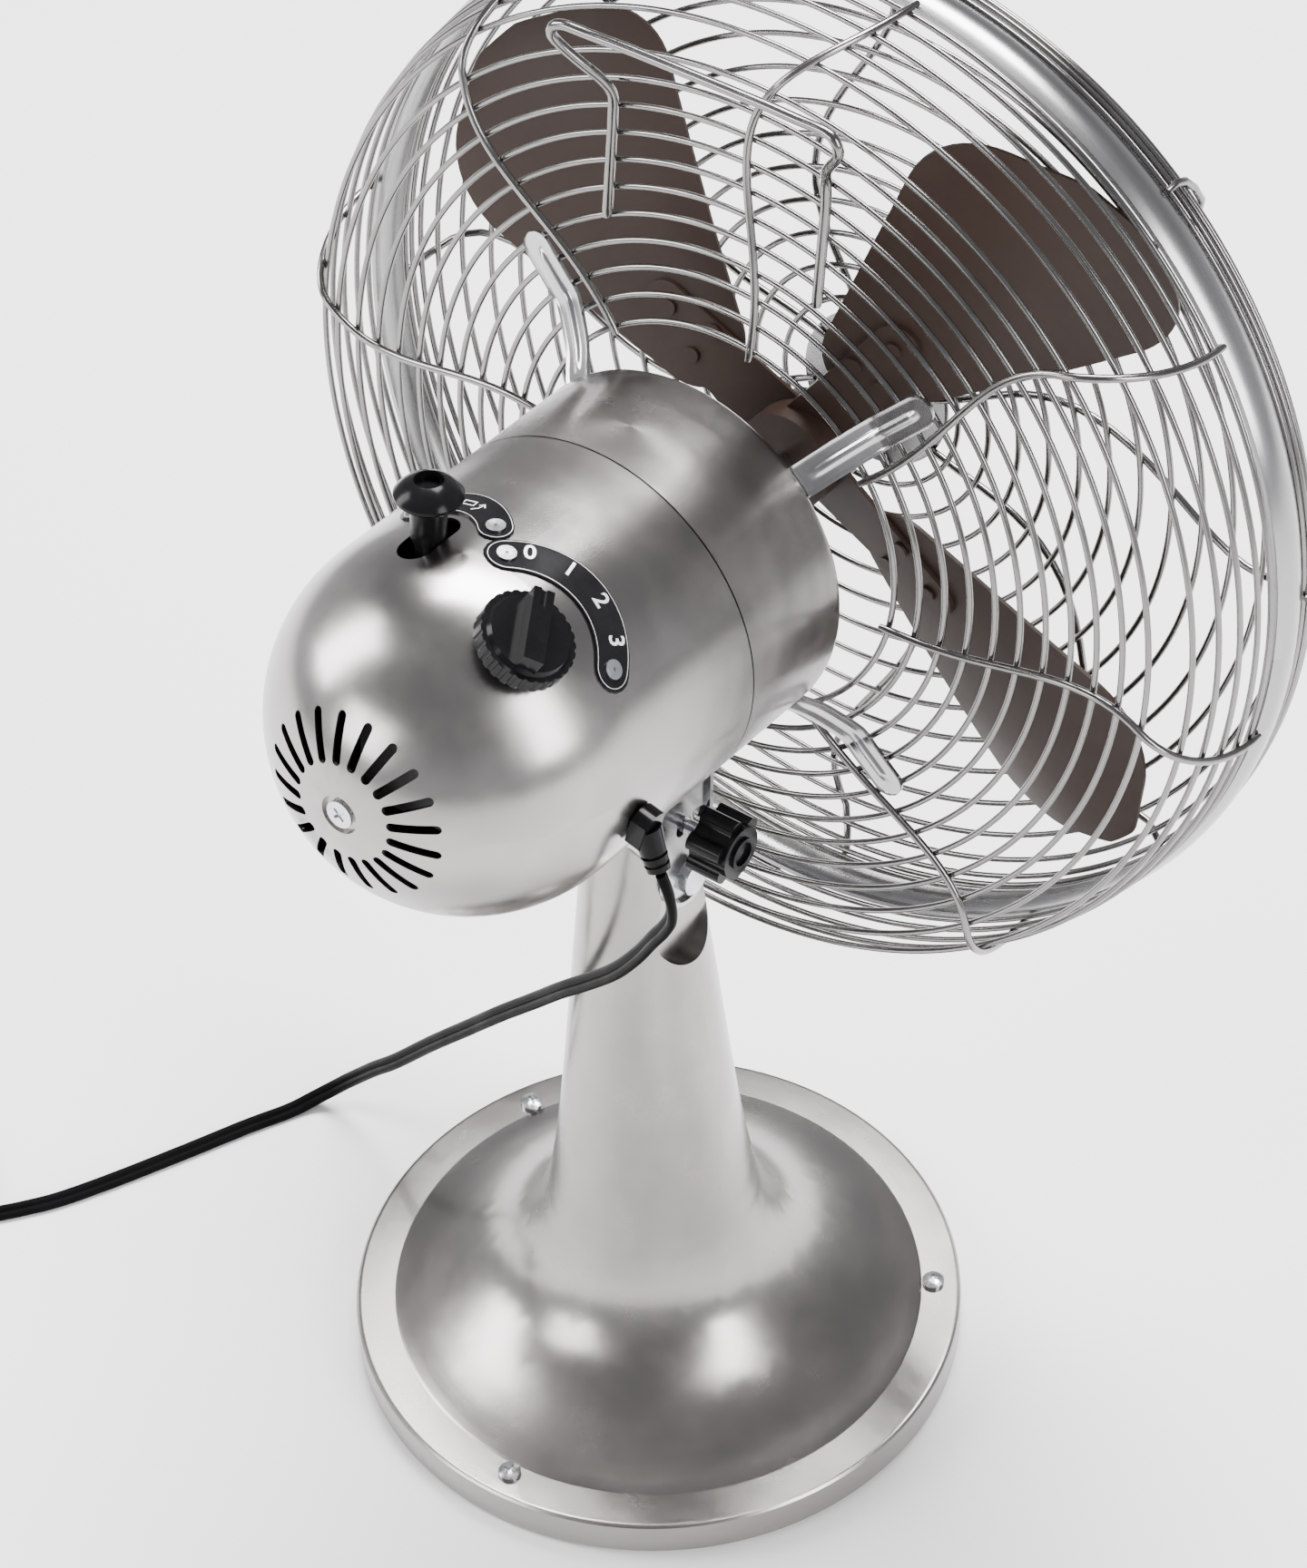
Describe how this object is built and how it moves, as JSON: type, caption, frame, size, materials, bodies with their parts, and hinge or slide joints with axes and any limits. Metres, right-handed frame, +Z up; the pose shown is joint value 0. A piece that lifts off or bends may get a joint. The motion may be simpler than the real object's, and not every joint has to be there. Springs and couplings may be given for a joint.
{
  "type": "oscillating desk fan",
  "caption": "Oscillating desk fan with a spun metal base, tilting and swivelling motor head, four blades in a wire guard, carrying handle, speed and swing knobs and a mains cord",
  "frame": {"origin": "centre of the base's underside, on the surface it stands on", "axes": "+Z up; the fan blows towards -Y; +X is to the right of a viewer who faces the fan's front, on the swing knob's side"},
  "size_m": [0.5464, 0.3186, 0.5168],
  "materials": {
    "brushed_metal": "satin brushed and lacquered, slightly warm grey",
    "guard_wire": "semi-gloss silver-grey lacquer on steel wire",
    "zinc_steel": "bright zinc-plated steel",
    "cast_zinc": "as-cast, matt",
    "dark_steel": "dark oxide steel",
    "black_rubber": "matt black",
    "black_plastic": "moulded black, semi-gloss",
    "black_cord": "black PVC, semi-matt",
    "black_plate": "gloss black enamel with bare-metal digits and border",
    "fibre": "dark vulcanised fibre",
    "copper_wire": "enamelled copper",
    "capacitor_case": "off-white moulded case",
    "nylon": "natural nylon",
    "blade_brown": "dark bronze-brown enamel, semi-gloss"
  },
  "bodies": {
    "stand": {"base_shell": "brushed_metal", "base_plate": "dark_steel", "base_weight": "dark_steel", "base_pad": "black_rubber", "base_screws": "zinc_steel", "base_nuts": "zinc_steel", "pivot_bolt": "zinc_steel", "pivot_nut": "zinc_steel", "pivot_washers": "fibre", "lock_stud": "zinc_steel", "power_cord": "black_cord", "cord_coil_and_plug": "black_plastic"},
    "tilt_knob_body": {"tilt_knob": "black_plastic"},
    "bracket": {"tilt_bracket": "brushed_metal", "swivel_spindle": "zinc_steel", "spindle_clip": "zinc_steel", "link_anchor_pin": "zinc_steel"},
    "link": {"swing_link": "zinc_steel"},
    "head": {"swivel_neck": "brushed_metal", "motor_cover": "brushed_metal", "rear_cover": "brushed_metal", "cover_screw": "zinc_steel", "stator_core": "dark_steel", "windings": "copper_wire", "front_bearing_plate": "cast_zinc", "rear_bearing_plate": "cast_zinc", "motor_bolts": "zinc_steel", "capacitor": "capacitor_case", "gearbox_housing": "cast_zinc", "speed_switch": "black_plastic", "speed_plate": "black_plate", "swing_plate": "black_plate", "plate_rivets": "zinc_steel", "cord_gland": "black_rubber", "rear_face_rings": "guard_wire", "rear_side_rings": "guard_wire", "rear_guard_wires": "guard_wire", "guard_brackets": "brushed_metal", "bracket_screws": "zinc_steel", "carry_handle": "guard_wire", "rim_band": "brushed_metal", "front_side_rings": "guard_wire", "front_face_rings": "guard_wire", "front_guard_wires": "guard_wire", "medallion": "brushed_metal", "rim_clamp": "zinc_steel"},
    "speed_knob_body": {"speed_knob": "black_plastic"},
    "swing_knob_body": {"swing_knob": "black_plastic"},
    "rotor": {"motor_shaft": "zinc_steel", "rotor_core": "dark_steel", "fan_hub": "blade_brown", "blade_1": "blade_brown", "blade_2": "blade_brown", "blade_3": "blade_brown", "blade_4": "blade_brown", "blade_plates": "blade_brown", "blade_rivets": "blade_brown", "hub_cap": "black_plastic"},
    "wheel": {"worm_wheel": "nylon"},
    "crank": {"crank_gear": "zinc_steel"}
  },
  "joints": [
    {"name": "tilt", "type": "hinge", "parent": "stand", "child": "bracket", "pos_m": [0, 0, 0.235], "axis": [1, 0, 0], "range_deg": [-22, 4], "deforming": ["power_cord"]},
    {"name": "swing", "type": "hinge", "parent": "bracket", "child": "head", "pos_m": [0, 0.00728, 0.28051], "axis": [0, -0.1045, 0.9945], "range_deg": [-35, 35], "deforming": ["power_cord"]},
    {"name": "link_turn", "type": "hinge", "parent": "bracket", "child": "link", "pos_m": [0.015, 0.00697, 0.28349], "axis": [0, -0.1045, 0.9945], "range_deg": [-36, 36]},
    {"name": "tilt_knob_turn", "type": "hinge", "parent": "stand", "child": "tilt_knob_body", "pos_m": [-0.035, 0, 0.257], "axis": [1, 0, 0], "range_deg": [-120, 120]},
    {"name": "rotor_spin", "type": "hinge", "parent": "head", "child": "rotor", "pos_m": [0, -0.00003, 0.35013], "axis": [0, 0.9945, 0.1045], "continuous": true},
    {"name": "wheel_spin", "type": "hinge", "parent": "head", "child": "wheel", "pos_m": [0.014, 0.08002, 0.35854], "axis": [0, -0.1045, 0.9945], "continuous": true},
    {"name": "crank_spin", "type": "hinge", "parent": "head", "child": "crank", "pos_m": [0, 0.07149, 0.3315], "axis": [0, -0.1045, 0.9945], "continuous": true},
    {"name": "speed_knob_turn", "type": "hinge", "parent": "head", "child": "speed_knob_body", "pos_m": [-0.03233, 0.09202, 0.41182], "axis": [-0.5299, -0.0886, 0.8434], "range_deg": [-68, 0]},
    {"name": "swing_knob_push", "type": "slide", "parent": "head", "child": "swing_knob_body", "axis": [0, -0.1045, 0.9945], "range_m": [-0.005, 0]}
  ],
  "couplings": [
    {"joint": "link_turn", "follows": "swing", "ratio": 1},
    {"joint": "wheel_spin", "follows": "rotor_spin", "ratio": 0.03125},
    {"joint": "crank_spin", "follows": "rotor_spin", "ratio": -0.0089286}
  ]
}
